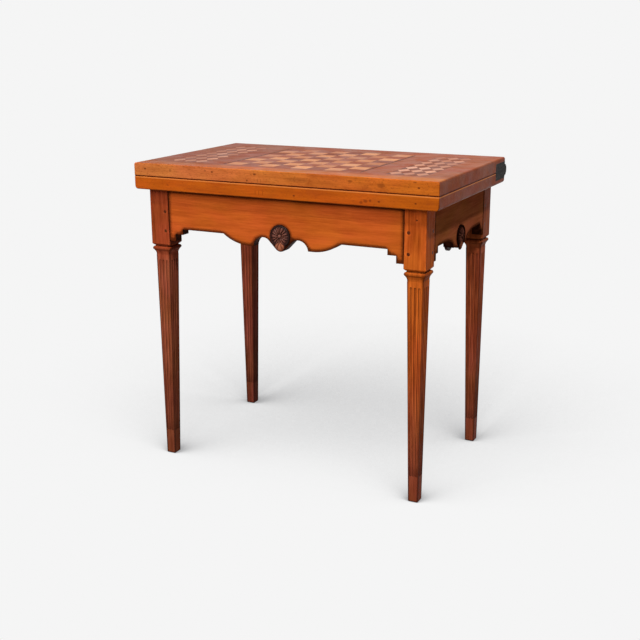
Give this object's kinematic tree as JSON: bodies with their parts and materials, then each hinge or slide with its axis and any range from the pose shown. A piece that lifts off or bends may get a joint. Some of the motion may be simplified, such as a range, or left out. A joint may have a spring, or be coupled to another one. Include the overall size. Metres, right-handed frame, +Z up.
{
  "type": "games table",
  "caption": "Folding card and games table on tapered fluted legs. The inlaid top leaf opens on end hinges to a baize playing face, and a swing leg carries it.",
  "frame": {"origin": "on the floor under the middle of the closed table's box, hinge ends included", "axes": "+X to the sitter's right along the front, +Y to the back, where the hinges are, +Z up"},
  "size_m": [0.786, 0.4918, 0.76],
  "materials": {
    "top_leaf_wood": "polished, worn",
    "lower_leaf_wood": "polished, worn",
    "apron_wood": "polished, worn",
    "leg_wood": "polished, worn",
    "carved_wood": "dark waxed",
    "light_inlay": "polished, worn",
    "dark_inlay": "polished, worn",
    "rail_wood": "plain, unpolished",
    "peg_wood": "end grain",
    "iron": "blackened",
    "baize": "felted wool"
  },
  "bodies": {
    "table_frame": {"corner_blocks": "rail_wood", "corner_plug": "peg_wood", "fly_rail_fixed": "rail_wood", "front_apron": "apron_wood", "hinge_arm_lower_left": "iron", "hinge_arm_lower_right": "iron", "hinge_rivets": "iron", "inner_back_rail": "rail_wood", "knuckle_pin": "iron", "left_apron": "apron_wood", "leg_back_right": "leg_wood", "leg_front_left": "leg_wood", "leg_front_right": "leg_wood", "lower_baize": "baize", "lower_leaf_panel": "lower_leaf_wood", "pegs_back_right": "peg_wood", "pegs_front_left": "peg_wood", "pegs_front_right": "peg_wood", "right_apron": "apron_wood", "rosette_backing_left": "carved_wood", "rosette_backing_right": "carved_wood", "rosette_front": "carved_wood", "rosette_left": "carved_wood", "rosette_right": "carved_wood", "top_blocks": "rail_wood"},
    "upper_leaf": {"upper_leaf_panel": "top_leaf_wood", "chess_squares_light": "light_inlay", "chess_squares_dark": "dark_inlay", "board_stringing": "dark_inlay", "lozenges_light_left": "light_inlay", "lozenges_light_right": "light_inlay", "lozenges_dark_left": "dark_inlay", "lozenges_dark_right": "dark_inlay", "upper_baize": "baize", "hinge_arm_upper_left": "iron", "hinge_arm_upper_right": "iron"},
    "swing_leg": {"leg_back_left": "leg_wood", "fly_rail": "rail_wood", "pegs_swing_leg": "peg_wood"}
  },
  "joints": [
    {"name": "leaf_fold", "type": "hinge", "parent": "table_frame", "child": "upper_leaf", "pos_m": [0, 0.23145, 0.72805], "axis": [-1, 0, 0], "range_deg": [0, 180]},
    {"name": "leg_swing", "type": "hinge", "parent": "table_frame", "child": "swing_leg", "pos_m": [0.015, 0.21695, 0.648], "axis": [0, 0, -1], "range_deg": [0, 90]}
  ]
}
